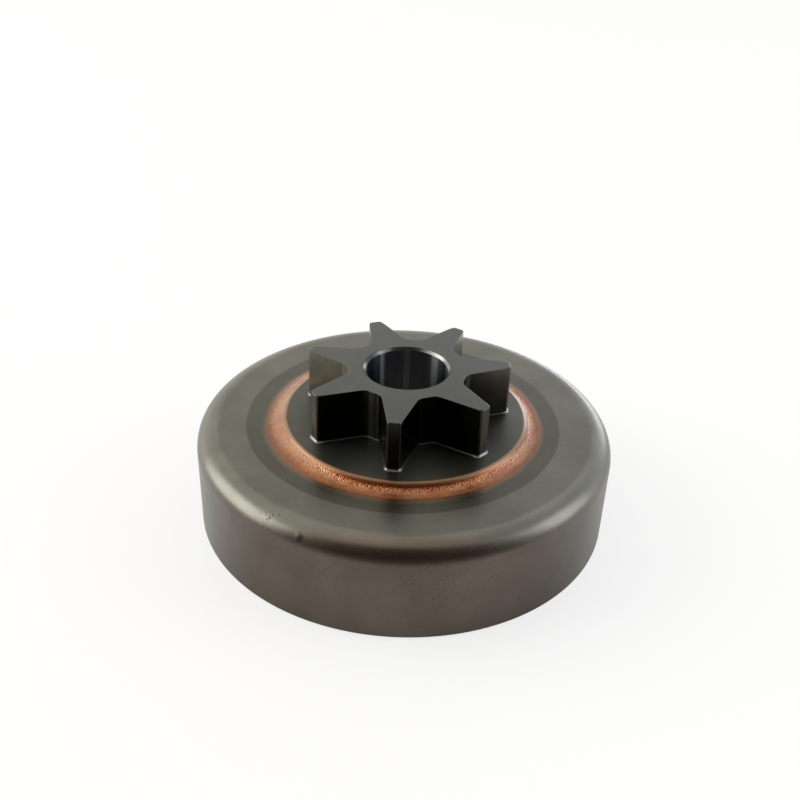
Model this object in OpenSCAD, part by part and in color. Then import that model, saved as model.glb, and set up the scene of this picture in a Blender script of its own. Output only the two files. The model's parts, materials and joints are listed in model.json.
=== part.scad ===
// Clutch drum with a seven-tooth spur sprocket.
// A deep-drawn steel cup stands on its open rim. The sprocket's flange lies on the cup's
// face and its spigot passes through it. A fillet of copper braze runs round the flange.
// Origin: centre of the rim plane. +Z runs up the axis, +X through the middle of a tooth.

/* [Drum] */
// Outside diameter of the drum
drum_d = 77.6; // [72:0.1:84]
// Depth of the drum from its face to its rim
drum_h = 18.6; // [14:0.1:24]
// Thickness of the drawn sheet
sheet_t = 2; // [1.6:0.1:2.6]
// Outside radius where the face turns into the side wall
corner_r = 3.5; // [3:0.1:5]
// Chamfer on both edges of the rim
rim_chamfer = 0.3; // [0.1:0.05:0.5]

/* [Sprocket teeth] */
// Number of teeth
teeth = 7; // [6:1:8]
// Diameter over the tooth tips
tip_d = 38.6; // [37:0.1:41]
// Diameter over the floors of the gullets
root_d = 22.2; // [21:0.1:23]
// Width of a tooth at its tip
tip_w = 2.35; // [1.8:0.05:3]
// Lean of each flank from the middle line of its tooth, in degrees
flank_lean = 14; // [12:0.5:15]
// Radius in both corners of a gullet, where the gullet is wide enough for it
gullet_r = 1.8; // [1.2:0.1:2]
// Height of the teeth above the flange
tooth_h = 9.6; // [7:0.1:12]

/* [Sprocket hub] */
// Diameter of the bore that a needle cage runs in
bore_d = 15; // [12:0.1:16]
// Chamfer at both ends of the bore
bore_chamfer = 0.5; // [0.2:0.05:0.8]
// Diameter of the flange under the teeth
flange_d = 46; // [42:0.1:50]
// Thickness of the flange above the drum's face
flange_t = 1.3; // [1.1:0.1:2.5]
// Radius round the flange's top edge
flange_round = 0.6; // [0.2:0.05:0.8]
// Diameter of the spigot that passes through the drum
spigot_d = 24; // [20:0.1:28]
// How far the spigot stands out inside the drum
spigot_proud = 1.2; // [0.8:0.1:3]
// Chamfer round the spigot's free end
spigot_chamfer = 0.5; // [0.2:0.05:0.7]
// Clearance round the spigot in the drum's hole
spigot_gap = 0.05; // [0.03:0.01:0.1]

/* [Braze] */
// How far the copper spreads over the drum's face
braze_w = 2.9; // [2:0.1:4]
// Thickness of the copper at its outer edge
braze_edge = 0.06; // [0.04:0.01:0.1]

/* [Hidden] */
$fn = 96;

// How far a cutter runs past what it cuts
past = 1;
// Largest gullet radius, as a share of the one that would make the gullet's floor a half round
gullet_share = 0.9;

pitch_angle = 360 / teeth;
drum_r = drum_d / 2;
root_r = root_d / 2;
spigot_r = spigot_d / 2;
flange_r = flange_d / 2;
flange_top = drum_h + flange_t;
tooth_top = flange_top + tooth_h;
spigot_end = drum_h - sheet_t - spigot_proud;

// Half section of a round block out to radius r and up to height h, with its top edge rounded.
module round_block(r, h, corner) {
    square([r - corner, h]);
    square([r, h - corner]);
    translate([r - corner, h - corner])
        circle(corner);
}

// Cutter that takes the sharp edge off the rim at radius r. Side 1 leans outwards, -1 inwards.
module rim_corner(r, side) {
    polygon([
        [r + side * past, -past],
        [r - side * (rim_chamfer + past), -past],
        [r + side * past, rim_chamfer + past],
    ]);
}

// The drawn cup: an outer form less its inner form, its hole and the rim's chamfers.
module drum_shell() {
    inner_r = drum_r - sheet_t;
    color("dimgray")
        rotate_extrude()
            difference() {
                round_block(drum_r, drum_h, corner_r);
                translate([0, -past])
                    round_block(inner_r, drum_h - sheet_t + past, corner_r - sheet_t);
                square([spigot_r + spigot_gap, drum_h + past]);
                rim_corner(drum_r, 1);
                rim_corner(inner_r, -1);
            }
}

// Distance of a tooth's flank from the axis, along the flank's normal.
tip_x = sqrt(pow(tip_d / 2, 2) - pow(tip_w / 2, 2));
flank_reach = tip_x * sin(flank_lean) + tip_w / 2 * cos(flank_lean);

// Angle between a flank and the middle line of the gullet beside it.
gullet_lean = flank_lean + pitch_angle / 2;

// Radius that touches both flanks of a gullet and its floor at once, and the radius in use.
full_r = (root_r * sin(gullet_lean) - flank_reach) / (1 - sin(gullet_lean));
floor_r = min(gullet_r, gullet_share * full_r);

// Centre of a corner arc, seen from the gullet's middle line: it touches flank and root circle.
arc_distance = root_r + floor_r;
arc_angle = acos((flank_reach + floor_r) / arc_distance) - 90 + gullet_lean;
arc_centre = arc_distance * [cos(arc_angle), sin(arc_angle)];

// One gullet along +X: straight flanks, two corner arcs and a floor on the root circle.
module gullet() {
    foot = arc_centre + floor_r * [-sin(gullet_lean), cos(gullet_lean)];
    mouth = foot + tip_d / 2 * [cos(gullet_lean), sin(gullet_lean)];
    difference() {
        union() {
            polygon([
                [0, 0],
                [arc_centre.x, -arc_centre.y], [foot.x, -foot.y], [mouth.x, -mouth.y],
                mouth, foot, arc_centre,
            ]);
            for (side = [-1, 1])
                translate([arc_centre.x, side * arc_centre.y])
                    circle(floor_r);
        }
        circle(root_r);
    }
}

// The toothed outline: a round blank less its gullets.
module tooth_outline() {
    difference() {
        circle(tip_d / 2);
        for (i = [0 : teeth - 1])
            rotate((i + 0.5) * pitch_angle)
                gullet();
    }
}

// Flange and spigot as one turned form.
module hub_blank() {
    rotate_extrude() {
        translate([0, drum_h])
            round_block(flange_r, flange_t, flange_round);
        polygon([
            [0, spigot_end],
            [spigot_r - spigot_chamfer, spigot_end],
            [spigot_r, spigot_end + spigot_chamfer],
            [spigot_r, drum_h],
            [0, drum_h],
        ]);
    }
}

// Cutter for the bore, with a chamfer at each end.
module bore() {
    mouth_r = bore_d / 2 + bore_chamfer + past;
    mouth_h = bore_chamfer + past;
    translate([0, 0, spigot_end - past])
        cylinder(d = bore_d, h = tooth_top - spigot_end + 2 * past);
    translate([0, 0, tooth_top - bore_chamfer])
        cylinder(r1 = bore_d / 2, r2 = mouth_r, h = mouth_h);
    translate([0, 0, spigot_end - past])
        cylinder(r1 = mouth_r, r2 = bore_d / 2, h = mouth_h);
}

// The sprocket: teeth, flange and spigot from one piece of steel.
module sprocket() {
    color("gray")
        difference() {
            union() {
                hub_blank();
                translate([0, 0, flange_top])
                    linear_extrude(tooth_h)
                        tooth_outline();
            }
            bore();
        }
}

// The copper fillet: it fills the flange's side up to the rounded edge and hollows down to a
// thin outer edge, where its slope runs out level with the drum's face.
module braze_ring() {
    top = flange_t - flange_round;
    fall = top - braze_edge;
    hollow_r = (pow(braze_w, 2) + pow(fall, 2)) / (2 * fall);
    color([0.72, 0.43, 0.30])
        rotate_extrude()
            translate([flange_r, drum_h])
                difference() {
                    polygon([[0, 0], [0, top], [braze_w, braze_edge], [braze_w, 0]]);
                    translate([braze_w, braze_edge + hollow_r])
                        circle(hollow_r);
                }
}

drum_shell();
sprocket();
braze_ring();
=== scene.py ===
"""Looks of a clutch drum with a seven-tooth spur sprocket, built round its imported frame.

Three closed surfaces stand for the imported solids: the deep-drawn drum, the machined
sprocket and the ring of copper braze that joins them. Each one is a grid of points that
numpy works out from a section and the path that carries it. Lengths are in metres.
"""
import json
import math

import bpy
import numpy as np
from bpy.props import FloatProperty, FloatVectorProperty, IntProperty, PointerProperty
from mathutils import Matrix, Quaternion, Vector


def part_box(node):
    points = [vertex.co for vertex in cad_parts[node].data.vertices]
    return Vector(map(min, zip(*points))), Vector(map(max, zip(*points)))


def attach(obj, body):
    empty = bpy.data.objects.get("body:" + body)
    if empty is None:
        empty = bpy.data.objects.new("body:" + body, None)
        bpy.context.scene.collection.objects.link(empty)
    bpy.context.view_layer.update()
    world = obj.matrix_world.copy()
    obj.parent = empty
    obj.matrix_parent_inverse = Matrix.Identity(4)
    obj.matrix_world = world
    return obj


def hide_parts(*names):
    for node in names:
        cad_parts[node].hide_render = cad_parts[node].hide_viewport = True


bl_info = {
    "name": "Clutch Drum Sprocket",
    "version": (1, 0, 0),
    "blender": (4, 5, 0),
    "location": "View3D > Sidebar > Clutch Drum",
    "description": "Builds a clutch drum with its spur sprocket and its ring of braze",
    "category": "Add Mesh",
}

MM = 0.001

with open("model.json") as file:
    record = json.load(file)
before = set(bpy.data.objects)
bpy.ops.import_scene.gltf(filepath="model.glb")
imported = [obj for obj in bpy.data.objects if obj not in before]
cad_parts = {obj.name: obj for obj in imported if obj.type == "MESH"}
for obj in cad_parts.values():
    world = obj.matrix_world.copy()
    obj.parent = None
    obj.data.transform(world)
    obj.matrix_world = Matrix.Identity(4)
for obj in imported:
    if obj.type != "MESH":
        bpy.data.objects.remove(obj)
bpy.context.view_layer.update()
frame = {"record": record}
DRUM_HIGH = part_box("drum_shell")[1]
HUB_LOW, HUB_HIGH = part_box("sprocket")
BRAZE_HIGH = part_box("braze_ring")[1]
MOUNTS = {mount["name"]: mount["dims"] for mount in frame["record"]["mounts"]}

# Azimuth of the side that faces the camera, and the white that the camera sees round the part.
FRONT = 262
WHITE = (1, 1, 1, 1)

# The setting of a Map Range node whose ends run out softly.
SOFT_RAMP = {"interpolation_type": "SMOOTHSTEP"}

# Places on the drum, in millimetres, that took knocks: where, how far round it, and how deep.
DRUM_MARKS = [
    ((-25.0, -27.9, 17.9), 2.6, 1),
    ((20.3, -23.1, 18.6), 1.8, 0.5),
    ((22.0, -22.6, 18.6), 0.7, 0.6),
    ((29.6, -12.7, 18.6), 0.6, 0.6),
    ((29.8, -15.2, 18.6), 0.5, 0.6),
    ((0.7, -38.8, 11.6), 8, 0.45),
    ((-15.8, -35.4, 11.7), 6, 0.35),
]

# One round blister on the corner: where, how wide and how high it is, in millimetres.
DRUM_BLISTER = ((-20.7, -32.1, 17.1), 0.9, 0.05)

# Painted reflection bands down the bore: azimuth, how wide in degrees, how bright.
BORE_REFLECTION_BANDS = [(121, 5, 0.75), (38, 9, 0.5), (84, 40, 0.36), (83, 6, 0.5), (5, 5, 0.6), (165, 7, 0.5),
              (214, 5, 0.8), (252, 8, 0.4), (291, 6, 0.7), (330, 7, 0.5)]

# Where round the part a thing shows, in degrees: its azimuth, how far from there it is full, and
# how far from there it has gone.
SIDES = {
    # The sprocket: flanks blackened toward the camera as painted shade, two places on them changed as
    # painted light (front tooth's land darker, one gullet lighter), painted highlights on the bore
    # chamfer, flange's wash.
    "painted_flank_shade": (272, 57, 88),
    "shaded_front_tooth": (257, 10, 20),
    "lit_gullet": (235, 11, 18),
    "chamfer_glint_right": (27, 18, 44),
    "chamfer_glint_back": (117, 5, 14),
    "pale": (3, 8, 24),
    "warm_tinted": (190, 15, 60),
    # Both: redder on the side toward the camera, a painted warm reflection.
    "reflected_red": (262, 0, 65),
    # The copper's shape: heaped up, falling off steeper, with less grain.
    "heaped": (165, 52, 72),
    "steep": (350, 20, 75),
    "smooth": (186, 10, 45),
    # The copper's colour: clean copper that is wide or narrow, denser film, painted shade in the groove at
    # the flange on the right, pale inside with painted highlights on it and on grains.
    "wide_copper": (172, 8, 30),
    "narrow_copper": (0, 10, 50),
    "film_left": (146, 14, 32),
    "film_right": (8, 15, 35),
    "dark_right": (305, 12, 30),
    "lip_left": (152, 12, 30),
    "lip_front": (218, 8, 24),
    "lip_right": (3, 8, 26),
    "grain_highlight": (350, 30, 60),
}


def linear(code):
    """Linear red, green and blue of an sRGB hex colour such as "#767264"."""
    shares = [int(code[i:i + 2], 16) / 255 for i in (1, 3, 5)]
    return [s / 12.92 if s <= 0.04045 else ((s + 0.055) / 1.055) ** 2.4 for s in shares]


def length(name, description, default):
    """A size that the sidebar shows as a length."""
    return FloatProperty(name=name, description=description, default=default, min=0, precision=5,
                         subtype="DISTANCE", unit="LENGTH")


def rotation(name, description, degrees):
    """An angle, given in degrees, that the sidebar shows as a rotation."""
    return FloatProperty(name=name, description=description, default=math.radians(degrees),
                         subtype="ANGLE", unit="ROTATION")


def colour(name, description, code):
    """A colour that the sidebar shows as a swatch."""
    return FloatVectorProperty(name=name, description=description, default=linear(code),
                               size=3, min=0, max=1, subtype="COLOR")


class DrumSettings(bpy.types.PropertyGroup):
    """Sizes and colours of the drawn drum."""

    radius: length("Radius", "Outside radius of the drum", DRUM_HIGH.x)
    height: length("Height", "From the rim to the face", DRUM_HIGH.z)
    track_radius: length("Track radius", "Inside radius that the clutch shoes rub on",
                         MOUNTS["shoe_track"]["r_mm"] * MM)
    corner: length("Corner", "Outside radius where the face turns into the wall", 3.5 * MM)
    rim_edge: length("Rim edge", "Size of the broken edges at the rim", 0.3 * MM)
    hole_radius: length("Hole radius", "Hole that the sprocket's spigot passes through", 12.05 * MM)
    face_colour: colour("Face", "Steel of the flat face", "#5a594f")
    corner_colour: colour("Corner", "Steel of the rounded corner", "#69685f")
    # Painted warm reflection: the corner's colour on the side toward the camera.
    browned_colour: colour("Browned corner", "Corner where the furnace browned it", "#685f54")
    side_colour: colour("Side", "Steel of the side wall", "#757570")
    # Painted warm reflection: the wall's colour on the side toward the camera.
    reflected_wall_colour: colour("Browned wall", "Side wall where the furnace browned it", "#655d55")
    tint_colour: colour("Heat tint", "Steel beside the braze, darkened by the heat", "#47463c")
    tint_radius: length("Tint radius", "Outside radius of the darkened ring", 29.23 * MM)
    stain_and_reflection_colour: colour("Copper stain", "Steel that the copper has stained", "#6a5443")
    stain_radius: length("Stain radius", "Where the stain has faded out", 26.75 * MM)


class SprocketSettings(bpy.types.PropertyGroup):
    """Sizes and colours of the machined sprocket."""

    teeth: IntProperty(name="Teeth", description="Number of teeth", default=7, min=5, max=12)
    tip_radius: length("Tip radius", "From the axis to the tooth tips", 19.3 * MM)
    root_radius: length("Root radius", "From the axis to the floors of the gullets", 11.1 * MM)
    tip_width: length("Tip width", "Width of a tooth at its tip", 2.35 * MM)
    flank_lean: rotation("Flank lean", "Lean of a flank from its tooth's middle line", 14)
    gullet_corner: length("Gullet corner", "Radius in both corners of a gullet", 1.8 * MM)
    tip_corner: length("Tip corner", "Radius where the tip turns into a flank", 0.6 * MM)
    top: length("Top", "Height of the top face", HUB_HIGH.z)
    flange_top: length("Flange top", "Height of the flange's top", 19.9 * MM)
    flange_radius: length("Flange radius", "Outside radius of the flange", HUB_HIGH.x)
    flange_edge: length("Flange edge", "Radius round the flange's top edge", 0.85 * MM)
    bore_radius: length("Bore radius", "Radius of the bearing bore",
                        MOUNTS["bearing_bore"]["r_mm"] * MM)
    bore_edge: length("Bore edge", "Chamfer at both ends of the bore", 0.5 * MM)
    spigot_radius: length("Spigot radius", "Radius of the spigot inside the drum", 12 * MM)
    steel_colour: colour("Steel", "Ground top face of the teeth", "#464742")
    flank_colour: colour("Flank", "Hobbed sides of the teeth", "#75756c")
    # Painted shade: the colour the flanks take toward the camera.
    flank_shade_colour: colour("Sooty flank", "Flanks that the furnace blackened", "#2b2a28")
    land_colour: colour("Land", "Turned lands on the tooth tips", "#55574d")
    bore_colour: colour("Bore", "Ground wall of the bore", "#333437")
    # Painted reflection: the colour of the pale bands down the bore.
    reflection_band_colour: colour("Bands", "Bands down the bore that the needles polished", "#85878a")
    flange_colour: colour("Flange", "Turned top of the flange", "#464740")
    # Painted highlight: the bright colour at the feet of the teeth and on the bore's chamfer.
    glint_colour: colour("Glint", "Bright rounding at the feet of the teeth", "#b4b4ae")
    brown_colour: colour("Brown", "Flange where the copper has stained it", "#4c4536")
    wash_colour: colour("Copper wash", "Thin copper on the flange's edge", "#86705c")
    pale_colour: colour("Pale wash", "The wash where it is thinnest", "#857a70")
    # Painted warm reflection: the wash's colour on the side toward the camera.
    stain_and_reflection_colour: colour("Wash stain", "The wash where the braze oxidised", "#836248")


class BrazeSettings(bpy.types.PropertyGroup):
    """Sizes and colours of the braze ring."""

    outer_radius: length("Outer radius", "Where the copper runs out on the face", BRAZE_HIGH.x)
    climb: rotation("Climb", "How far the copper climbs round the flange's top edge", 30)
    hollow: length("Hollow", "Distance over which the fillet falls to a third of its height", 0.62 * MM)
    edge: length("Edge", "Thickness of the copper at its outer edge", 0.06 * MM)
    wander: length("Wander", "How far the outer edge strays", 0.14 * MM)
    off_centre: length("Off centre", "How far the copper ran over to the side of -X", 0.25 * MM)
    grain_depth: length("Grain depth", "Height of the grains that the copper set in", 0.05 * MM)
    copper_colour: colour("Copper", "Clean copper", "#9f745f")
    gold_colour: colour("Gold", "Patches that a thin oxide tints gold", "#9e7c58")
    # Painted warm reflection: the copper's colour on the side toward the camera.
    reflected_red_colour: colour("Oxide", "Copper under a film of red oxide", "#a3694a")
    # Painted warm reflection: the thin film's colour on the side toward the camera.
    reflected_red_film_colour: colour("Scorched", "Thin copper film under red oxide", "#7e4e32")
    # Paler copper along the inner edge, laid on where it is also a painted highlight.
    lip_highlight_colour: colour("Lip", "Pale copper, alloyed with the steel beside it", "#c6a790")
    pink_colour: colour("Pink", "Thin copper film with a pink stain", "#784d3e")
    olive_colour: colour("Olive", "Thin copper film with an olive stain", "#705035")
    # Painted shade: the dark red-brown laid in the groove along the flange.
    groove_shade_colour: colour("Valley", "Dark oxide where the copper meets the flange", "#7c3a1c")
    pit_colour: colour("Pits", "Oxide between the grains", "#4a2212")


class StudioSettings(bpy.types.PropertyGroup):
    """Floor, light and camera."""

    floor_colour: colour("Floor", "Pale matt board under the part", "#ecebe8")
    dark_colour: colour("Dark room", "Room behind the camera, as the metal mirrors it", "#584b42")
    floor_reach: length("Floor reach", "From the part to each side of the floor", 4)
    lens: FloatProperty(name="Lens", description="Focal length in millimetres on a 36 mm sensor",
                        default=44.113, unit="CAMERA")
    distance: length("Distance", "From the middle of the rim to the camera", 195.715 * MM)
    azimuth: rotation("Azimuth", "Turn of the camera round the part, 0 looks along +Y", -7.527)
    elevation: rotation("Elevation", "Height of the camera above the horizon", 36.806)
    roll: rotation("Roll", "Tilt of the camera about its own line of sight", 2.0296)
    aim: FloatVectorProperty(name="Aim", description="Point that the camera looks at",
                             default=(-1.0546 * MM, 0.1321 * MM, 22.4794 * MM), subtype="XYZ")


def polar(radius, angle):
    """Points at a radius and an angle: radius times cosine and sine."""
    return np.stack([radius * np.cos(angle), radius * np.sin(angle)], axis=-1)


def direction(azimuth, elevation):
    """Unit vector at an azimuth from +X and an elevation, both in degrees."""
    a, e = math.radians(azimuth), math.radians(elevation)
    return Vector((math.cos(a) * math.cos(e), math.sin(a) * math.cos(e), math.sin(e)))


def smooth_step(low, high, value):
    """0 up to low, 1 from high on, and 3t^2 - 2t^3 between them."""
    t = np.clip((value - low) / (high - low), 0, 1)
    return t * t * (3 - 2 * t)


def side_share(angles, side):
    """1 near a side and 0 far from it, smooth in the cosine between.

    The side is an azimuth and the two angles off it, in degrees, where the share leaves 1
    and reaches 0.
    """
    azimuth, full, none = np.radians(side)
    return smooth_step(math.cos(none), math.cos(full), np.cos(angles - azimuth))


def spaced_shares(count, hold):
    """Shares along a straight side, with one point held close to each end of it."""
    return np.concatenate([[hold], np.linspace(hold, 1 - hold, count)[1:-1], [1 - hold]])


def rounded_section(corners, closed=True, hold=0.03 * MM):
    """A section with rounded corners.

    Each corner is (r, z, radius, arc steps, points on the side after it). Its arc starts
    radius * tan(turn / 2) before the corner, so that it touches both of its sides.
    """
    table = np.array(corners, float)
    point, radius = table[:, :2], table[:, 2]
    side = np.roll(point, -1, 0) - point
    span = np.linalg.norm(side, axis=1)
    ahead = side / span[:, None]
    behind = np.roll(ahead, 1, 0)
    turn = np.arctan2(behind[:, 0] * ahead[:, 1] - behind[:, 1] * ahead[:, 0], (behind * ahead).sum(1))
    if not closed:
        turn[[0, -1]] = 0
    setback = radius * np.tan(np.abs(turn) / 2)
    left = np.stack([-behind[:, 1], behind[:, 0]], axis=1) * np.sign(turn)[:, None]
    centre = point - behind * setback[:, None] + left * radius[:, None]
    pieces = []
    for i, (_, _, r, steps, along) in enumerate(corners):
        if turn[i]:
            start = np.arctan2(-left[i, 1], -left[i, 0])
            pieces.append(centre[i] + polar(r, start + turn[i] * np.linspace(0, 1, steps + 1)))
        else:
            pieces.append(point[i:i + 1])
        if closed or i < len(corners) - 1:
            after = (i + 1) % len(corners)
            start, end = point[i] + ahead[i] * setback[i], point[after] - ahead[i] * setback[after]
            shares = spaced_shares(along, hold / np.linalg.norm(end - start))
            pieces.append(start + shares[:, None] * (end - start))
    return np.concatenate(pieces)


def carried(r, z, angles):
    """Points at radius r and height z, carried round the axis: x = r cos a, y = r sin a, z = z."""
    return np.concatenate([polar(r + 0 * z, angles), (z + 0 * r + 0 * angles)[..., None]], axis=-1)


def grid_piece(name, points, finishes, attributes=None):
    """A mesh object from a grid of points that closes on itself both ways, faces outwards.

    Each face joins a point to the next one round its ring and to the same two on the next
    ring. Attributes are numbers per point that the finishes read.
    """
    rings, around = points.shape[:2]
    index = np.arange(rings * around).reshape(rings, around)
    after = np.roll(index, -1, axis=0)
    faces = np.stack([index, np.roll(index, -1, 1), np.roll(after, -1, 1), after], axis=-1)
    mesh = bpy.data.meshes.new(name)
    mesh.vertices.add(index.size)
    mesh.vertices.foreach_set("co", points.astype(np.float32).ravel())
    mesh.loops.add(faces.size)
    mesh.loops.foreach_set("vertex_index", faces.astype(np.int32).ravel())
    mesh.polygons.add(index.size)
    mesh.polygons.foreach_set("loop_start", np.arange(0, faces.size, 4, dtype=np.int32))
    mesh.polygons.foreach_set("use_smooth", np.ones(index.size, bool))
    mesh.update(calc_edges=True)
    for title, values in (attributes or {}).items():
        layer = mesh.attributes.new(title, "FLOAT", "POINT")
        layer.data.foreach_set("value", np.broadcast_to(values, index.shape).astype(np.float32).ravel())
    for finish in finishes:
        mesh.materials.append(finish)
    piece = bpy.data.objects.new(name, mesh)
    bpy.context.scene.collection.objects.link(piece)
    return piece


def stand_in(piece, node):
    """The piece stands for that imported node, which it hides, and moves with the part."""
    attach(piece, "root")
    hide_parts(node)


def add(tree, kind, inputs, **settings):
    """Adds a node with its settings and gives its outputs.

    Each input takes a plain value or another node's output.
    """
    node = tree.nodes.new(kind)
    for name, value in settings.items():
        setattr(node, name, value)
    for key, value in inputs.items():
        if isinstance(value, bpy.types.NodeSocket):
            tree.links.new(value, node.inputs[key])
        else:
            node.inputs[key].default_value = value
    return node.outputs


def new_finish(name):
    """A node material that holds nothing but its output."""
    finish = bpy.data.materials.new(name)
    finish.use_nodes = True
    finish.node_tree.nodes.clear()
    return finish, finish.node_tree


def paint(value):
    """Red, green, blue and a full alpha."""
    return (*value, 1)


def drawn_steel(drum):
    """Low-carbon steel sheet, deep drawn and then darkened in the brazing furnace.

    It gives a satin grey-brown metal with soft clouding and faint pits, a plainer face and
    a darker ring where the heat and the flux of the braze reached it. Its corner and wall are
    browner on the side toward the camera, which is a painted warm reflection.
    """
    finish, tree = new_finish("drawn_carbon_steel")
    place = add(tree, "ShaderNodeTexCoord", {})["Object"]
    cloud = add(tree, "ShaderNodeTexNoise", {"Vector": place, "Scale": 1 / (7 * MM), "Detail": 3})[0]
    fine = add(tree, "ShaderNodeTexNoise", {"Vector": place, "Scale": 1 / (0.35 * MM), "Detail": 2})[0]
    height = add(tree, "ShaderNodeSeparateXYZ", {0: place})["Z"]
    toward = add(tree, "ShaderNodeVectorMath", {0: place, 1: direction(FRONT, 0)}, operation="DOT_PRODUCT")
    strays = []
    for x, y, wander in ((0, 0, 0.8), (0.377, 0.089, 0.3), (0.35, 0.35, 2)):
        moved = add(tree, "ShaderNodeMapping", {
            "Vector": place, "Location": (x * MM, y * MM, 0), "Scale": (1, 1, 0),
        })[0]
        out = add(tree, "ShaderNodeVectorMath", {0: moved}, operation="LENGTH")["Value"]
        strays.append(add(tree, "ShaderNodeMath", {0: cloud, 1: wander * MM, 2: out},
                          operation="MULTIPLY_ADD")[0])
    corner_from = drum.radius - drum.corner - 0.5 * MM
    ramps = {
        "wall": (height, drum.height - 0.5 * MM, drum.height - drum.corner),
        # These two shares make the side toward the camera browner: painted warm reflection.
        "browned_wall": (toward["Value"], 0.35 * drum.radius, 0.85 * drum.radius),
        "browned_corner": (toward["Value"], 0.83 * drum.radius, 0.95 * drum.radius),
        "corner": (strays[0], corner_from, corner_from + 1 * MM),
        "tint": (strays[1], drum.tint_radius + 0.35 * MM, drum.tint_radius + 0.05 * MM),
        "stain": (strays[2], drum.stain_radius + 0.9 * MM, drum.stain_radius - 0.2 * MM),
    }
    share = {
        name: add(tree, "ShaderNodeMapRange", {"Value": value, "From Min": low, "From Max": high},
                  **SOFT_RAMP)[0]
        for name, (value, low, high) in ramps.items()
    }
    steel = paint(drum.face_colour)
    # Corner and wall turn browner toward the camera: a painted warm reflection, not a stain.
    for part, plain, warm_tinted in (("corner", drum.corner_colour, drum.browned_colour),
                                 ("wall", drum.side_colour, drum.reflected_wall_colour)):
        over = add(tree, "ShaderNodeMix", {
            0: share["browned_" + part], 6: paint(plain), 7: paint(warm_tinted),
        }, data_type="RGBA")[2]
        steel = add(tree, "ShaderNodeMix", {0: share[part], 6: steel, 7: over}, data_type="RGBA")[2]
    above = add(tree, "ShaderNodeMapRange", {
        "Value": height, "From Min": drum.height - 0.5 * MM, "From Max": drum.height - 0.3 * MM,
    })[0]
    for part, over in (("tint", drum.tint_colour), ("stain", drum.stain_and_reflection_colour)):
        on_face = add(tree, "ShaderNodeMath", {0: share[part], 1: above}, operation="MULTIPLY")[0]
        steel = add(tree, "ShaderNodeMix", {0: on_face, 6: steel, 7: paint(over)}, data_type="RGBA")[2]
    clouding, speck, rough = (
        add(tree, "ShaderNodeMapRange", {
            "Value": noise, "From Min": 0.5 - half, "From Max": 0.5 + half, "To Min": low, "To Max": high,
        })[0]
        for noise, half, low, high in (
            (cloud, 0.2, 0.9, 1.1), (fine, 0.25, 0.95, 1.05), (fine, 0.2, 0.27, 0.34),
        )
    )
    shade = add(tree, "ShaderNodeMath", {0: clouding, 1: speck}, operation="MULTIPLY")[0]
    cells = add(tree, "ShaderNodeTexVoronoi", {"Vector": place, "Scale": 1 / (0.8 * MM)})["Distance"]
    pit = add(tree, "ShaderNodeMapRange", {"Value": cells, "From Min": 0.34, "From Max": 0.12},
              **SOFT_RAMP)[0]
    worn = add(tree, "ShaderNodeMapRange", {
        "Value": cloud, "From Min": 0.5, "From Max": 0.62, "To Max": 0.3,
    })[0]
    worn = add(tree, "ShaderNodeMath", {0: worn, 1: share["wall"]}, operation="MULTIPLY")[0]
    for spot, size, strength in DRUM_MARKS:
        away = add(tree, "ShaderNodeVectorMath", {0: place, 1: Vector(spot) * MM}, operation="DISTANCE")
        near = add(tree, "ShaderNodeMapRange", {
            "Value": away["Value"], "From Min": size * MM, "From Max": 0.4 * size * MM,
            "To Max": strength,
        }, **SOFT_RAMP)[0]
        worn = add(tree, "ShaderNodeMath", {0: worn, 1: near}, operation="ADD")[0]
    pit = add(tree, "ShaderNodeMath", {0: pit, 1: worn}, operation="MULTIPLY")[0]
    spot, width, _ = DRUM_BLISTER
    away = add(tree, "ShaderNodeVectorMath", {0: place, 1: Vector(spot) * MM}, operation="DISTANCE")
    blister = add(tree, "ShaderNodeMapRange", {
        "Value": away["Value"], "From Min": 1.1 * width * MM, "From Max": 0.7 * width * MM,
        "To Max": 0.7,
    }, **SOFT_RAMP)[0]
    dulled = add(tree, "ShaderNodeMath", {0: pit, 1: blister}, operation="MAXIMUM")[0]
    shade = add(tree, "ShaderNodeMath", {0: dulled, 1: -0.45, 2: shade}, operation="MULTIPLY_ADD")[0]
    steel = add(tree, "ShaderNodeVectorMath", {0: steel, "Scale": shade}, operation="SCALE")[0]
    rough = add(tree, "ShaderNodeMath", {0: share["corner"], 1: 0.04, 2: rough},
                operation="MULTIPLY_ADD")[0]
    bump = add(tree, "ShaderNodeBump", {"Height": fine, "Distance": 0.0015 * MM})[0]
    bump = add(tree, "ShaderNodeBump", {"Height": pit, "Distance": 0.06 * MM, "Normal": bump},
               invert=True)[0]
    metal = add(tree, "ShaderNodeBsdfPrincipled", {
        "Base Color": steel, "Metallic": 1, "Roughness": rough, "Normal": bump,
    })[0]
    add(tree, "ShaderNodeOutputMaterial", {"Surface": metal})
    return finish


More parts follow.
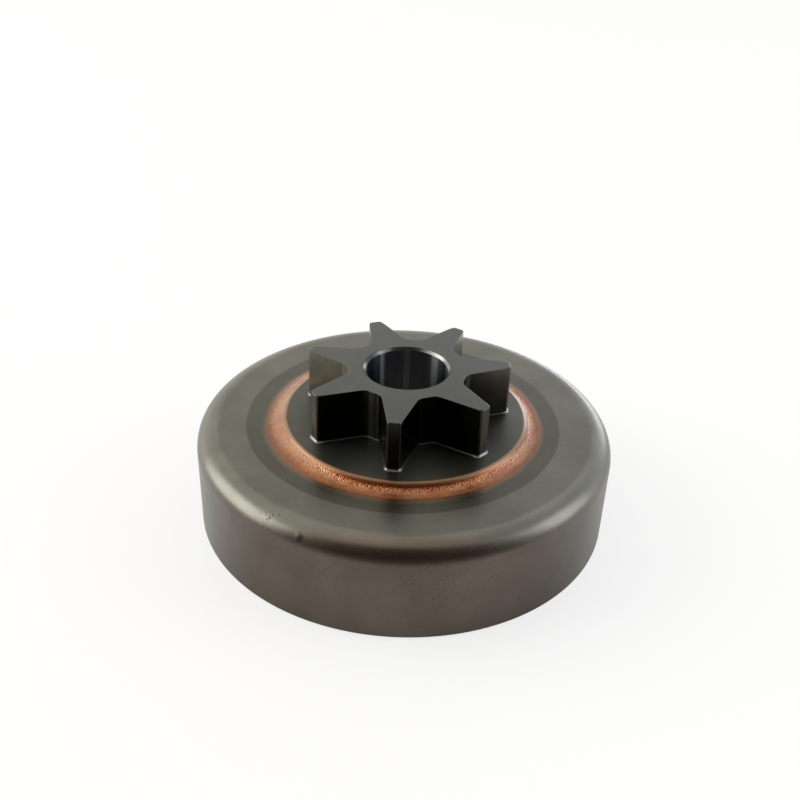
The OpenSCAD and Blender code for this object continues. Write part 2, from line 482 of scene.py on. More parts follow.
def hardened_steel(sprocket):
    """Carbon steel, machined, hardened and darkened in the furnace, with copper run thin over its edge.

    It gives a smooth dark satin metal, a tan line round the flange and hardly any marks.
    On it are painted highlights at the feet of the teeth and on the bore's chamfer, and the
    wash turns redder toward the camera as a painted warm reflection.
    """
    finish, tree = new_finish("hardened_machined_steel")
    place = add(tree, "ShaderNodeTexCoord", {})["Object"]
    cloud = add(tree, "ShaderNodeTexNoise", {"Vector": place, "Scale": 1 / (4 * MM), "Detail": 3})[0]
    fine = add(tree, "ShaderNodeTexNoise", {"Vector": place, "Scale": 1 / (0.3 * MM), "Detail": 2})[0]
    flat = add(tree, "ShaderNodeMapping", {"Vector": place, "Scale": (1, 1, 0)})[0]
    out = add(tree, "ShaderNodeVectorMath", {0: flat}, operation="LENGTH")["Value"]
    stray = add(tree, "ShaderNodeMath", {0: cloud, 1: 0.3 * MM, 2: out}, operation="MULTIPLY_ADD")[0]
    height = add(tree, "ShaderNodeSeparateXYZ", {0: place})["Z"]
    warm_tinted, reflected_red, pale, glint = (
        add(tree, "ShaderNodeAttribute", {}, attribute_name=name)["Fac"]
        for name in ("warm_tinted", "reflected_red", "pale", "glint")
    )
    on_flange = add(tree, "ShaderNodeMapRange", {
        "Value": height, "From Min": sprocket.flange_top + 0.4 * MM,
        "From Max": sprocket.flange_top + 0.1 * MM,
    })[0]
    wash_from = sprocket.flange_radius - sprocket.flange_edge
    brown = add(tree, "ShaderNodeMapRange", {
        "Value": stray, "From Min": wash_from - 1.6 * MM, "From Max": wash_from, "To Max": warm_tinted,
    }, **SOFT_RAMP)[0]
    washed = add(tree, "ShaderNodeMapRange", {
        "Value": stray, "From Min": wash_from + 0.1 * MM, "From Max": wash_from + 0.35 * MM,
    }, **SOFT_RAMP)[0]
    wash = paint(sprocket.wash_colour)
    # The wash turns redder toward the camera: painted warm reflection.
    for share, over in ((pale, sprocket.pale_colour), (reflected_red, sprocket.stain_and_reflection_colour)):
        wash = add(tree, "ShaderNodeMix", {0: share, 6: wash, 7: paint(over)}, data_type="RGBA")[2]
    steel = paint(sprocket.steel_colour)
    for share, over in (
        (on_flange, paint(sprocket.flange_colour)), (brown, paint(sprocket.brown_colour)),
        # The glint share is a painted highlight.
        (washed, wash), (glint, paint(sprocket.glint_colour)),
    ):
        steel = add(tree, "ShaderNodeMix", {0: share, 6: steel, 7: over}, data_type="RGBA")[2]
    clouding = add(tree, "ShaderNodeMapRange", {
        "Value": cloud, "From Min": 0.3, "From Max": 0.7, "To Min": 0.94, "To Max": 1.06,
    })[0]
    steel = add(tree, "ShaderNodeVectorMath", {0: steel, "Scale": clouding}, operation="SCALE")[0]
    rough = add(tree, "ShaderNodeMapRange", {"Value": on_flange, "To Min": 0.27, "To Max": 0.4})[0]
    bump = add(tree, "ShaderNodeBump", {"Height": fine, "Distance": 0.0007 * MM})[0]
    round_axis = add(tree, "ShaderNodeTangent", {}, direction_type="RADIAL", axis="Z")[0]
    metal = add(tree, "ShaderNodeBsdfPrincipled", {
        "Base Color": steel, "Metallic": 1, "Roughness": rough, "Anisotropic": 0.5,
        "Anisotropic Rotation": 0.25, "Tangent": round_axis, "Normal": bump,
    })[0]
    add(tree, "ShaderNodeOutputMaterial", {"Surface": metal})
    return finish


def hobbed_steel(sprocket):
    """The same hardened steel, as the hob cut it.

    It gives dull dark flanks, blacker towards the camera as painted shade, and lands on the
    tips that are duller yet; on the front tooth the land is darkened as painted shade too.
    """
    finish, tree = new_finish("hobbed_tooth_steel")
    place = add(tree, "ShaderNodeTexCoord", {})["Object"]
    cloud = add(tree, "ShaderNodeTexNoise", {"Vector": place, "Scale": 1 / (3 * MM), "Detail": 3})[0]
    clouding = add(tree, "ShaderNodeMapRange", {
        "Value": cloud, "From Min": 0.3, "From Max": 0.7, "To Min": 0.92, "To Max": 1.08,
    })[0]
    steel, rough = paint(sprocket.flank_colour), 0.32
    # The first share is painted shade that blackens the flanks toward the camera.
    for name, over, dull in (("painted_flank_shade", sprocket.flank_shade_colour, 0.21), ("land", sprocket.land_colour, 0.42)):
        share = add(tree, "ShaderNodeAttribute", {}, attribute_name=name)["Fac"]
        steel = add(tree, "ShaderNodeMix", {0: share, 6: steel, 7: paint(over)}, data_type="RGBA")[2]
        rough = add(tree, "ShaderNodeMapRange", {"Value": share, "To Min": rough, "To Max": dull})[0]
    steel = add(tree, "ShaderNodeVectorMath", {0: steel, "Scale": clouding}, operation="SCALE")[0]
    metal = add(tree, "ShaderNodeBsdfPrincipled", {
        "Base Color": steel, "Metallic": 1, "Roughness": rough,
    })[0]
    add(tree, "ShaderNodeOutputMaterial", {"Surface": metal})
    return finish


def ground_bore_steel(sprocket):
    """Hardened steel, ground and honed as a needle track.

    It gives a smooth dark wall with fine rings round the axis and blurred pale bands down it,
    which are painted reflections.
    """
    finish, tree = new_finish("ground_bore_steel")
    place = add(tree, "ShaderNodeTexCoord", {})["Object"]
    lines = add(tree, "ShaderNodeMapping", {"Vector": place, "Scale": (0.03, 0.03, 1)})[0]
    marks = add(tree, "ShaderNodeTexNoise", {"Vector": lines, "Scale": 1 / (0.12 * MM)})[0]
    bump = add(tree, "ShaderNodeBump", {"Height": marks, "Distance": 0.002 * MM})[0]
    round_axis = add(tree, "ShaderNodeTangent", {}, direction_type="RADIAL", axis="Z")[0]
    # The band share lays on painted reflection bands.
    reflection_band = add(tree, "ShaderNodeAttribute", {}, attribute_name="reflection_band")["Fac"]
    steel = add(tree, "ShaderNodeMix", {
        0: reflection_band, 6: paint(sprocket.bore_colour), 7: paint(sprocket.reflection_band_colour),
    }, data_type="RGBA")[2]
    metal = add(tree, "ShaderNodeBsdfPrincipled", {
        "Base Color": steel, "Metallic": 1, "Roughness": 0.36, "Anisotropic": 1,
        "Anisotropic Rotation": 0.25, "Tangent": round_axis, "Normal": bump,
    })[0]
    add(tree, "ShaderNodeOutputMaterial", {"Surface": metal})
    return finish


def set_copper(braze):
    """Nearly pure copper that melted in the brazing furnace and set again.

    It gives a satin orange metal, grainy and pitted along the flange, smooth outside and
    stained pink and olive where it runs out thin. Painted light on it: shade in the groove
    along the flange, a highlight on its paler inner lip and on grains on the right, and a warm
    reflection that reddens the side toward the camera.
    """
    finish, tree = new_finish("furnace_braze_copper")
    place = add(tree, "ShaderNodeTexCoord", {})["Object"]
    grain, film, groove_shade, reflected_red, lip_highlight = (
        add(tree, "ShaderNodeAttribute", {}, attribute_name=name)["Fac"]
        for name in ("grain", "film", "groove_shade", "reflected_red", "lip_highlight")
    )
    cloud = add(tree, "ShaderNodeTexNoise", {"Vector": place, "Scale": 1 / (2.5 * MM), "Detail": 3})[0]
    patch = add(tree, "ShaderNodeMapRange", {"Value": cloud, "From Min": 0.42, "From Max": 0.58},
                **SOFT_RAMP)[0]
    gold = add(tree, "ShaderNodeMath", {0: patch, 1: 0.45}, operation="MULTIPLY")[0]
    pits = add(tree, "ShaderNodeMapRange", {
        "Value": grain, "From Min": -0.5, "From Max": -1.8, "To Max": 0.7,
    })[0]
    stain = paint(braze.pink_colour)
    # Toward the camera the film turns redder: painted warm reflection.
    for share, over in ((patch, braze.olive_colour), (reflected_red, braze.reflected_red_film_colour)):
        stain = add(tree, "ShaderNodeMix", {0: share, 6: stain, 7: paint(over)}, data_type="RGBA")[2]
    copper = paint(braze.copper_colour)
    # These mixes hold painted light: redder copper toward the camera, a lip with a painted highlight, and
    # painted shade in the groove.
    for share, over in (
        (reflected_red, paint(braze.reflected_red_colour)), (lip_highlight, paint(braze.lip_highlight_colour)),
        (gold, paint(braze.gold_colour)), (film, stain),
        (groove_shade, paint(braze.groove_shade_colour)), (pits, paint(braze.pit_colour)),
    ):
        copper = add(tree, "ShaderNodeMix", {0: share, 6: copper, 7: over}, data_type="RGBA")[2]
    clouding = add(tree, "ShaderNodeMapRange", {
        "Value": cloud, "From Min": 0.3, "From Max": 0.7, "To Min": 0.88, "To Max": 1.1,
    })[0]
    copper = add(tree, "ShaderNodeVectorMath", {0: copper, "Scale": clouding}, operation="SCALE")[0]
    fine = add(tree, "ShaderNodeTexNoise", {"Vector": place, "Scale": 1 / (0.2 * MM), "Detail": 2})[0]
    bump = add(tree, "ShaderNodeBump", {"Height": fine, "Distance": 0.006 * MM})[0]
    metal = add(tree, "ShaderNodeBsdfPrincipled", {
        "Base Color": copper, "Metallic": 1, "Roughness": 0.36, "Normal": bump,
    })[0]
    add(tree, "ShaderNodeOutputMaterial", {"Surface": metal})
    return finish


def matt_board(studio):
    """Pale coated board, unglazed: it keeps the part's soft shadow and is white to the camera.

    In what the metal mirrors, the board is dark in front of the part, as the room there is.
    """
    finish, tree = new_finish("matt_white_board")
    ray = add(tree, "ShaderNodeLightPath", {})
    seen = add(tree, "ShaderNodeMath", {0: ray["Is Camera Ray"], 1: 0.75}, operation="MULTIPLY")[0]
    mirrored = add(tree, "ShaderNodeMath", {
        0: ray["Is Glossy Ray"], 1: ray["Is Transmission Ray"],
    }, operation="ADD")[0]
    share = add(tree, "ShaderNodeMath", {0: mirrored, 1: 0.15, 2: seen}, operation="MULTIPLY_ADD")[0]
    place = add(tree, "ShaderNodeTexCoord", {})["Object"]
    toward = add(tree, "ShaderNodeVectorMath", {0: place, 1: direction(FRONT, 0)}, operation="DOT_PRODUCT")
    far = add(tree, "ShaderNodeMapRange", {
        "Value": toward["Value"], "From Min": 48 * MM, "From Max": 100 * MM,
    }, **SOFT_RAMP)[0]
    unseen = add(tree, "ShaderNodeMath", {0: 1, 1: ray["Is Camera Ray"]}, operation="SUBTRACT")[0]
    dark = add(tree, "ShaderNodeMath", {0: far, 1: unseen}, operation="MULTIPLY")[0]
    tone = add(tree, "ShaderNodeMix", {
        0: dark, 6: paint(studio.floor_colour), 7: paint(studio.dark_colour),
    }, data_type="RGBA")[2]
    board = add(tree, "ShaderNodeBsdfDiffuse", {"Color": tone})[0]
    white = add(tree, "ShaderNodeEmission", {"Color": WHITE, "Strength": 1})[0]
    mixed = add(tree, "ShaderNodeMixShader", {0: share, 1: board, 2: white})[0]
    add(tree, "ShaderNodeOutputMaterial", {"Surface": mixed})
    return finish


class OBJECT_OT_clutch_drum(bpy.types.Operator):
    """Build the deep-drawn drum"""

    bl_idname = "object.clutch_drum"
    bl_label = "Drum"

    def execute(self, context):
        drum = context.scene.clutch_drum
        sheet = drum.radius - drum.track_radius
        under = drum.height - sheet
        section = rounded_section([
            (drum.hole_radius, drum.height, 0.1 * MM, 2, 10),
            (drum.radius, drum.height, drum.corner, 30, 8),
            (drum.radius, drum.rim_edge, 0.15 * MM, 2, 2),
            (drum.radius - drum.rim_edge, 0, 0.15 * MM, 2, 4),
            (drum.track_radius + drum.rim_edge, 0, 0.15 * MM, 2, 2),
            (drum.track_radius, drum.rim_edge, 0.15 * MM, 2, 6),
            (drum.track_radius, under, drum.corner - sheet, 10, 6),
            (drum.hole_radius, under, 0.1 * MM, 2, 4),
        ])
        angles = np.linspace(0, 2 * np.pi, 960, endpoint=False)
        points = carried(section[:, :1], section[:, 1:], angles)
        spot, width, raised = DRUM_BLISTER
        away = np.linalg.norm(points - np.array(spot) * MM, axis=-1)
        blister = 1 - smooth_step(0.15 * width * MM, width * MM, away)
        middle = carried(drum.radius - drum.corner, drum.height - drum.corner, angles)
        outward = (points - middle) / np.linalg.norm(points - middle, axis=-1, keepdims=True)
        points = points + raised * MM * blister[..., None] * outward
        piece = grid_piece("drum", points, [drawn_steel(drum)])
        stand_in(piece, "drum_shell")
        return {"FINISHED"}


def tooth_outline(sprocket, counts=(3, 6, 9, 12, 6)):
    """One pitch of the toothed outline and its outward normals, from one gullet's middle to the next.

    A flank is the line at distance reach from the axis along its own normal. An arc that
    touches it and a circle round the axis has its centre at reach -/+ arc radius along that
    normal and at circle radius -/+ arc radius from the axis, minus inside and plus outside.
    """
    lean, half_pitch = sprocket.flank_lean, np.pi / sprocket.teeth
    tip_x = math.sqrt(sprocket.tip_radius ** 2 - (sprocket.tip_width / 2) ** 2)
    reach = tip_x * math.sin(lean) + sprocket.tip_width / 2 * math.cos(lean)
    normal = np.array([math.sin(lean), math.cos(lean)])
    along = np.array([math.cos(lean), -math.sin(lean)])

    def centre(arc, circle):
        """Centre of an arc: its distance along the normal, and the rest along the flank."""
        off = reach + arc
        return off * normal + math.sqrt((circle + arc) ** 2 - off ** 2) * along

    tip, gullet = sprocket.tip_corner, sprocket.gullet_corner
    tip_centre, gullet_centre = centre(-tip, sprocket.tip_radius), centre(gullet, sprocket.root_radius)
    tip_turn, gullet_turn = (math.atan2(c[1], c[0]) for c in (tip_centre, gullet_centre))
    flank_turn = math.atan2(normal[1], normal[0])
    tip_angle = np.linspace(0, tip_turn, counts[0] + 1)[:-1]
    corner_angle = np.linspace(tip_turn, flank_turn, counts[1] + 1)
    share = spaced_shares(counts[2], 0.01)[:, None]
    floor_corner = np.linspace(flank_turn, gullet_turn, counts[3] + 1)
    floor_angle = np.linspace(gullet_turn, half_pitch, counts[4] + 1)[1:]
    start, end = tip_centre + tip * normal, gullet_centre - gullet * normal
    points = np.concatenate([
        polar(sprocket.tip_radius, tip_angle), tip_centre + polar(tip, corner_angle),
        start + share * (end - start), gullet_centre - polar(gullet, floor_corner),
        polar(sprocket.root_radius, floor_angle),
    ])
    normals = np.concatenate([
        polar(1, tip_angle), polar(1, corner_angle), normal + 0 * share,
        polar(1, floor_corner), polar(1, floor_angle),
    ])
    mirror = np.array([1, -1])
    points = np.concatenate([(points * mirror)[:0:-1], points[:-1]])
    normals = np.concatenate([(normals * mirror)[:0:-1], normals[:-1]])
    return points, normals


def all_teeth(pitch, teeth):
    """One pitch of points turned to each tooth in order: x cos a - y sin a, x sin a + y cos a."""
    turn = np.arange(teeth)[:, None] * 2 * np.pi / teeth
    x, y = pitch[:, 0], pitch[:, 1]
    cos, sin = np.cos(turn), np.sin(turn)
    return np.stack([x * cos - y * sin, x * sin + y * cos], axis=-1).reshape(-1, 2)


class OBJECT_OT_spur_sprocket(bpy.types.Operator):
    """Build the machined sprocket"""

    bl_idname = "object.spur_sprocket"
    bl_label = "Sprocket"

    def execute(self, context):
        sprocket = context.scene.spur_sprocket
        points, normals = tooth_outline(sprocket)
        outline, outward = all_teeth(points, sprocket.teeth), all_teeth(normals, sprocket.teeth)
        angles = np.arctan2(outline[:, 1], outline[:, 0])
        distance = np.linalg.norm(outline, axis=1)
        tip, root = sprocket.tip_radius, sprocket.root_radius
        near_tip = smooth_step(tip - 1.3 * MM, tip - 0.3 * MM, distance)
        land = smooth_step(tip - 0.42 * MM, tip - 0.12 * MM, distance)
        # Painted shade: flanks go near black toward the camera and the front tooth's land darkens; one
        # gullet floor stays lighter as painted light.
        land = land * (1 - 0.6 * side_share(angles, SIDES["shaded_front_tooth"]))
        floor = 1 - smooth_step(root + 0.3 * MM, root + 1.3 * MM, distance)
        lit_floor = floor * side_share(angles, SIDES["lit_gullet"])
        painted_flank_shade = side_share(angles, SIDES["painted_flank_shade"]) * (1 - 0.3 * lit_floor)
        top_edge = 0.06 * MM + 0.16 * MM * near_tip
        foot = 0.28 * MM + 0.12 * MM * near_tip

        def ring(offset, z):
            """The outline pushed out by offset, at height z."""
            return np.concatenate([outline + offset[:, None] * outward, z[:, None]], axis=1)

        edge_rings = np.stack([
            ring(-top_edge * (1 - math.sin(t)), sprocket.top - top_edge * (1 - math.cos(t)))
            for t in np.radians(np.linspace(0, 90, 5))
        ])
        foot_rings = np.stack([
            ring(foot * (1 - math.cos(t)), sprocket.flange_top + foot * (1 - math.sin(t)))
            for t in np.radians(np.linspace(0, 90, 9))
        ])
        down = spaced_shares(6, 0.01)[:, None, None]
        flank_rings = edge_rings[-1] + down * (foot_rings[0] - edge_rings[-1])
        mouth = sprocket.bore_radius + sprocket.bore_edge
        face_from = mouth + 0.04 * MM
        mouth_ring = carried(face_from, sprocket.top, angles)
        across = spaced_shares(6, 0.02)[:, None, None]
        face_rings = mouth_ring + across * (edge_rings[0] - mouth_ring)
        foot_angles = np.arctan2(foot_rings[-1, :, 1], foot_rings[-1, :, 0])
        flat_radius = sprocket.flange_radius - sprocket.flange_edge
        section = rounded_section([
            (flat_radius - 1 * MM, sprocket.flange_top, 0, 1, 3),
            (sprocket.flange_radius, sprocket.flange_top, sprocket.flange_edge, 12, 4),
            (sprocket.flange_radius, DRUM_HIGH.z, 0.04 * MM, 2, 4),
            (sprocket.spigot_radius, DRUM_HIGH.z, 0.04 * MM, 2, 4),
            (sprocket.spigot_radius, HUB_LOW.z + 0.5 * MM, 0.1 * MM, 2, 2),
            (sprocket.spigot_radius - 0.5 * MM, HUB_LOW.z, 0.1 * MM, 2, 4),
            (mouth, HUB_LOW.z, 0.1 * MM, 2, 2),
            (sprocket.bore_radius, HUB_LOW.z + sprocket.bore_edge, 0.1 * MM, 2, 10),
            (sprocket.bore_radius, sprocket.top - sprocket.bore_edge, 0.12 * MM, 3, 3),
            (mouth, sprocket.top, 0.08 * MM, 3, 2),
            (face_from, sprocket.top, 0, 1, 1),
        ], closed=False)
        turned_rings = carried(section[:, :1], section[:, 1:], foot_angles)
        across = spaced_shares(5, 0.02)[:, None, None]
        flange_rings = foot_rings[-1] + across * (turned_rings[0] - foot_rings[-1])
        grid = np.concatenate([
            face_rings, edge_rings, flank_rings, foot_rings, flange_rings, turned_rings,
        ])
        turn = np.arctan2(grid[..., 1], grid[..., 0])
        from_axis = np.linalg.norm(grid[..., :2], axis=-1)
        # Painted reflection bands down the bore, at listed azimuths.
        reflection_band = sum(bright * side_share(turn, (azimuth, 1, width)) for azimuth, width, bright in BORE_REFLECTION_BANDS)
        flank_from = len(face_rings) + len(edge_rings)
        foot_from = flank_from + len(flank_rings)
        mouth_low = sprocket.top - sprocket.bore_edge - 0.1 * MM
        at_mouth = (from_axis < mouth + 0.01 * MM) & (grid[..., 2] > mouth_low)
        # Painted highlights on the bore's chamfer, on two sides, and at the feet of the teeth near their
        # tips.
        chamfer_glint = np.maximum(side_share(turn, SIDES["chamfer_glint_right"]),
                            0.7 * side_share(turn, SIDES["chamfer_glint_back"]))
        glint = 0.4 * at_mouth * chamfer_glint
        glint[foot_from + 1:foot_from + len(foot_rings) - 1] = 0.4 * near_tip ** 3
        finishes = [hardened_steel(sprocket), ground_bore_steel(sprocket), hobbed_steel(sprocket)]
        piece = grid_piece("spur_sprocket", grid, finishes, {
            "land": land, "reflection_band": reflection_band, "glint": glint, "painted_flank_shade": painted_flank_shade,
            "pale": side_share(turn, SIDES["pale"]), "reflected_red": side_share(turn, SIDES["reflected_red"]),
            "warm_tinted": 0.4 + 0.6 * side_share(turn, SIDES["warm_tinted"]),
        })
        in_bore = np.abs(from_axis[:, 0] - sprocket.bore_radius) < 0.05 * MM
        slots = (in_bore & np.roll(in_bore, -1)).astype(np.int32)
        slots[flank_from - 1:foot_from] = 2
        piece.data.polygons.foreach_set("material_index", np.repeat(slots, grid.shape[1]))
        stand_in(piece, "sprocket")
        return {"FINISHED"}


def set_grain(shape, spacing, finest, coarsest, seed):
    """Noise of unit spread on a closed grid: seeded white noise keeps its waves between two lengths."""
    waves = np.fft.fft2(np.random.default_rng(seed).standard_normal(shape))
    down = np.fft.fftfreq(shape[0], spacing[0])[:, None]
    along = np.fft.fftfreq(shape[1], spacing[1])[None, :]
    rate = np.hypot(down, along)
    noise = np.fft.ifft2(waves * (rate < 1 / finest) * (rate > 1 / coarsest)).real
    return noise / noise.std()


class OBJECT_OT_braze_ring(bpy.types.Operator):
    """Build the ring of copper braze"""

    bl_idname = "object.braze_ring"
    bl_label = "Braze ring"

    def execute(self, context):
        scene = context.scene
        braze, drum, sprocket = scene.braze_ring, scene.clutch_drum, scene.spur_sprocket
        angles = np.linspace(0, 2 * np.pi, 1400, endpoint=False)
        reach = np.linspace(0, 1, 56)[:, None]
        side = {name: side_share(angles, place) for name, place in SIDES.items()}
        film = drum.height + braze.edge
        edge_r = sprocket.flange_edge
        corner_r = sprocket.flange_radius - edge_r
        corner_z = sprocket.flange_top - edge_r
        inner = corner_r + edge_r * (1 - side["heaped"]) * math.cos(braze.climb)
        wave = sum(np.cos(k * angles + 2.1 * k * k) / k for k in (2, 3, 5, 8, 13, 21, 34))
        outer = braze.outer_radius - braze.off_centre * (1 + np.cos(angles))
        outer = outer - braze.wander * (wave.max() - wave) / np.ptp(wave)
        radius = inner + reach * (outer - inner)
        hollow_from = corner_r + edge_r * math.cos(braze.climb)
        hollow_top = corner_z + edge_r * math.sin(braze.climb)
        fall = braze.hollow * (1 - 0.28 * side["steep"])
        hollow = film + (hollow_top - film) * np.exp((hollow_from - radius) / fall)
        rounding = corner_z + np.sqrt(np.maximum(edge_r ** 2 - (radius - corner_r) ** 2, 0))
        hollow = np.where(radius < hollow_from, np.minimum(hollow, rounding - 0.02 * MM), hollow)
        share = (radius - corner_r) / (outer - corner_r)
        heap = film + (sprocket.flange_top - film) * np.maximum(1 - share, 0) ** 1.25
        spacing = (0.07 * MM, 0.1 * MM)
        grain = set_grain(radius.shape, spacing, 0.33 * MM, 1 * MM, seed=5)
        zone = smooth_step(0.02, 0.12, reach) * (1 - smooth_step(0.36, 0.62, reach))
        grain = np.minimum(grain, 0.8) * zone * (1 - 0.6 * side["smooth"])
        height = hollow + side["heaped"] * (heap - hollow) + braze.grain_depth * grain
        height = height - 0.85 * braze.edge * smooth_step(outer - 0.9 * MM, outer, radius)

        surface = carried(radius, height, angles)
        edge = carried(outer, drum.height + np.array([[0.07], [0]]) * braze.edge, angles)
        climb = np.linspace(0, 1, 5)[:-1, None] * np.arccos((inner - corner_r) / edge_r)
        against = carried(corner_r + edge_r * np.cos(climb), corner_z + edge_r * np.sin(climb), angles)
        under = carried(sprocket.flange_radius, drum.height, angles)
        grid = np.concatenate([surface, edge, [under], against])
        pad = np.zeros((len(grid) - len(surface), len(angles)))
        strayed = radius + 0.12 * MM * set_grain(radius.shape, spacing, 1.2 * MM, 5 * MM, seed=7)
        film_from = 23.9 * MM + 0.3 * MM * (side["wide_copper"] - side["narrow_copper"])
        thin = 0.66 + 0.34 * np.maximum(side["film_left"], side["film_right"])
        thin = thin * smooth_step(film_from, film_from + 1.1 * MM, strayed)
        thin = thin + (1 - thin) * smooth_step(outer - 0.8 * MM, outer - 0.2 * MM, strayed)
        # Painted shade in the groove by the flange, at the front and on the right.
        groove_shade = np.maximum(side["reflected_red"], 0.25 * side["dark_right"])
        groove_shade = (1 - smooth_step(0.04, 0.22, reach)) * groove_shade
        # Paler copper on the inner edge, partly a painted highlight; on the right's grains a painted
        # highlight.
        lip_highlight = 0.25 * np.maximum(side["lip_left"], side["lip_front"])
        lip_highlight = np.maximum(lip_highlight, 0.45 * side["lip_right"])
        lip_highlight = (1 - smooth_step(23.2 * MM, 23.9 * MM, radius + 0.12 * MM * grain)) * lip_highlight
        lip_highlight = lip_highlight + 0.3 * side["grain_highlight"] * smooth_step(0.3, 0.75, grain)
        piece = grid_piece("braze_ring_copper", grid, [set_copper(braze)], {
            "grain": np.concatenate([grain, pad]), "film": np.concatenate([thin, pad + 1]),
            "groove_shade": np.concatenate([groove_shade, pad]), "lip_highlight": np.concatenate([lip_highlight, pad]),
            "reflected_red": side["reflected_red"],
        })
        stand_in(piece, "braze_ring")
        return {"FINISHED"}


def studio_world(world, studio):
    """A bright room, whiter towards the back and dark behind the camera.

    The metal mirrors it as pale flats, soft highlights and the dark band on the drum's front
    corner. The camera itself sees plain white.
    """
    world.use_nodes = True
    tree = world.node_tree
    tree.nodes.clear()
    look = add(tree, "ShaderNodeTexCoord", {})["Generated"]
    height = add(tree, "ShaderNodeSeparateXYZ", {0: look})["Z"]
    sides = {
        "back": direction(92, 0), "window": direction(56, 0), "left": direction(155, 55),
        "right": direction(20, 0), "front": direction(FRONT + 1, 13),
    }
    toward = {
        name: add(tree, "ShaderNodeVectorMath", {0: look, 1: side}, operation="DOT_PRODUCT")["Value"]
        for name, side in sides.items()
    }
    level = add(tree, "ShaderNodeMapRange", {"Value": toward["back"], "To Min": 0.9, "To Max": 1.4})[0]
    low = add(tree, "ShaderNodeMapRange", {
        "Value": height, "From Min": 0.3, "From Max": 0.05, "To Max": 0.35,
    }, **SOFT_RAMP)[0]
    behind = add(tree, "ShaderNodeMapRange", {
        "Value": toward["back"], "From Min": 0.1, "From Max": 0.7,
    }, **SOFT_RAMP)[0]
    level = add(tree, "ShaderNodeMath", {0: low, 1: behind, 2: level}, operation="MULTIPLY_ADD")[0]
    for name, edge, core, strength in (("window", 20, 6, 4.2), ("left", 46, 15, 0.25)):
        glow = add(tree, "ShaderNodeMapRange", {
            "Value": toward[name], "From Min": math.cos(math.radians(edge)),
            "From Max": math.cos(math.radians(core)), "To Max": strength,
        }, **SOFT_RAMP)[0]
        level = add(tree, "ShaderNodeMath", {0: glow, 1: level}, operation="ADD")[0]
    cool = add(tree, "ShaderNodeMapRange", {
        "Value": toward["right"], "From Min": 0.1, "From Max": 0.75,
    }, **SOFT_RAMP)[0]
    cast = add(tree, "ShaderNodeMix", {
        0: cool, 6: (1.025, 1, 0.96, 1), 7: (0.97, 0.99, 1.08, 1),
    }, data_type="RGBA")[2]
    lit = add(tree, "ShaderNodeVectorMath", {0: cast, "Scale": level}, operation="SCALE")[0]
    dark = add(tree, "ShaderNodeMapRange", {
        "Value": toward["front"], "From Min": math.cos(math.radians(66)),
        "From Max": math.cos(math.radians(50)),
    }, **SOFT_RAMP)[0]
    room = add(tree, "ShaderNodeMix", {0: dark, 6: lit, 7: paint(studio.dark_colour)}, data_type="RGBA")[2]
    seen = add(tree, "ShaderNodeLightPath", {})["Is Camera Ray"]
    shown = add(tree, "ShaderNodeMix", {0: seen, 6: room, 7: WHITE}, data_type="RGBA")[2]
    light = add(tree, "ShaderNodeBackground", {"Color": shown, "Strength": 1})[0]
    add(tree, "ShaderNodeOutputWorld", {"Surface": light})


def soft_box(name, azimuth, elevation, distance, width, height, radiance, cast):
    """A square-on area lamp. Its power is radiance * pi * area."""
    lamp = bpy.data.lights.new(name, "AREA")
    lamp.shape = "RECTANGLE"
    lamp.size, lamp.size_y = width, height
    lamp.energy = radiance * math.pi * width * height
    lamp.color = cast
    box = bpy.data.objects.new(name, lamp)
    away = direction(azimuth, elevation)
    box.location = away * distance
    box.rotation_mode = "QUATERNION"
    box.rotation_quaternion = away.to_track_quat("Z", "Y")
    bpy.context.scene.collection.objects.link(box)


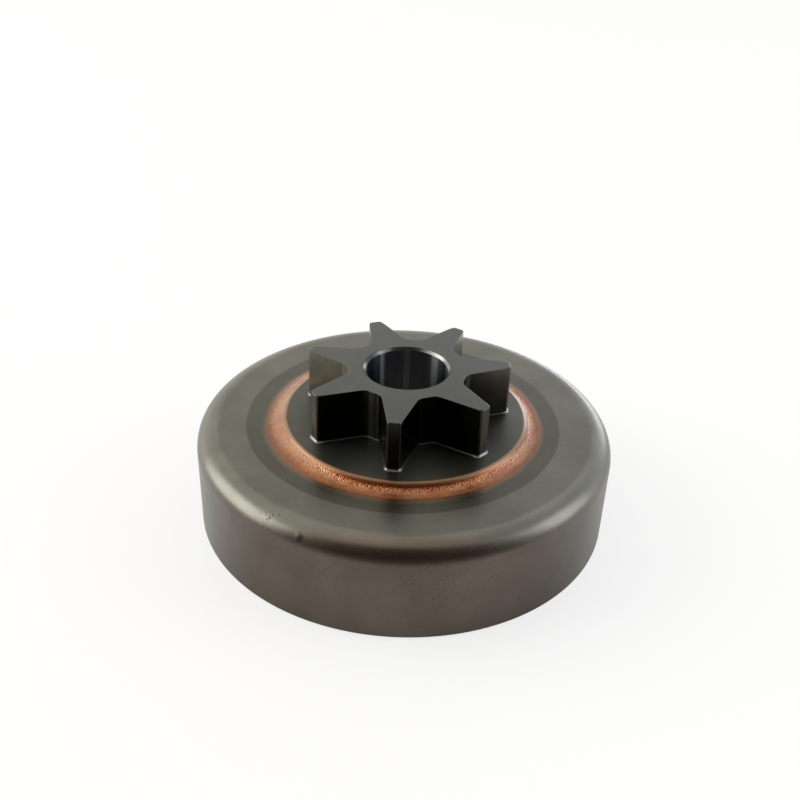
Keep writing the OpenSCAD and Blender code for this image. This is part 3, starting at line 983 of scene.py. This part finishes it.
class OBJECT_OT_part_studio(bpy.types.Operator):
    """Build the floor, the light and the camera"""

    bl_idname = "object.part_studio"
    bl_label = "Studio"

    def execute(self, context):
        scene, studio = context.scene, context.scene.part_studio
        corners = carried(studio.floor_reach * math.sqrt(2), 0, np.radians([45, 135, 225, 315]))
        floor_mesh = bpy.data.meshes.new("floor")
        floor_mesh.from_pydata(corners.tolist(), [], [(0, 1, 2, 3)])
        floor_mesh.materials.append(matt_board(studio))
        floor = bpy.data.objects.new("floor", floor_mesh)
        scene.collection.objects.link(floor)
        scene.world = scene.world or bpy.data.worlds.new("studio")
        studio_world(scene.world, studio)
        soft_box("left_box", azimuth=170, elevation=22, distance=1.4, width=1.15, height=1.1,
                 radiance=3.7, cast=(1, 1, 1))
        soft_box("right_box", azimuth=-7.5, elevation=23, distance=1.4, width=0.75, height=1.05,
                 radiance=2.6, cast=(0.95, 0.98, 1.05))
        eye = bpy.data.cameras.new("camera")
        eye.lens = studio.lens
        eye.sensor_width = 36
        camera = bpy.data.objects.new("camera", eye)
        scene.collection.objects.link(camera)
        away = direction(math.degrees(studio.azimuth) - 90, math.degrees(studio.elevation))
        camera.location = away * studio.distance
        sight = Vector(studio.aim) - camera.location
        camera.rotation_mode = "QUATERNION"
        camera.rotation_quaternion = sight.to_track_quat("-Z", "Y") @ Quaternion((0, 0, 1), studio.roll)
        eye.clip_start, eye.clip_end = 1 * MM, 20
        scene.camera = camera
        scene.view_settings.view_transform = "Standard"
        return {"FINISHED"}


class VIEW3D_PT_clutch_drum(bpy.types.Panel):
    """Lists the pieces and their sizes"""

    bl_idname = "VIEW3D_PT_clutch_drum"
    bl_label = "Clutch Drum"
    bl_space_type = "VIEW_3D"
    bl_region_type = "UI"
    bl_category = "Clutch Drum"

    def draw(self, context):
        for title, (operator, group) in PARTS.items():
            box = self.layout.box()
            box.operator(operator.bl_idname)
            settings = getattr(context.scene, title)
            for name in group.__annotations__:
                box.prop(settings, name)


PARTS = {
    "clutch_drum": (OBJECT_OT_clutch_drum, DrumSettings),
    "spur_sprocket": (OBJECT_OT_spur_sprocket, SprocketSettings),
    "braze_ring": (OBJECT_OT_braze_ring, BrazeSettings),
    "part_studio": (OBJECT_OT_part_studio, StudioSettings),
}


def register():
    for title, (operator, group) in PARTS.items():
        bpy.utils.register_class(group)
        bpy.utils.register_class(operator)
        setattr(bpy.types.Scene, title, PointerProperty(type=group))
    bpy.utils.register_class(VIEW3D_PT_clutch_drum)


def unregister():
    bpy.utils.unregister_class(VIEW3D_PT_clutch_drum)
    for title, (operator, group) in PARTS.items():
        delattr(bpy.types.Scene, title)
        bpy.utils.unregister_class(operator)
        bpy.utils.unregister_class(group)


def main():
    register()
    bpy.ops.object.clutch_drum()
    bpy.ops.object.spur_sprocket()
    bpy.ops.object.braze_ring()
    bpy.ops.object.part_studio()


if __name__ == "__main__":
    main()
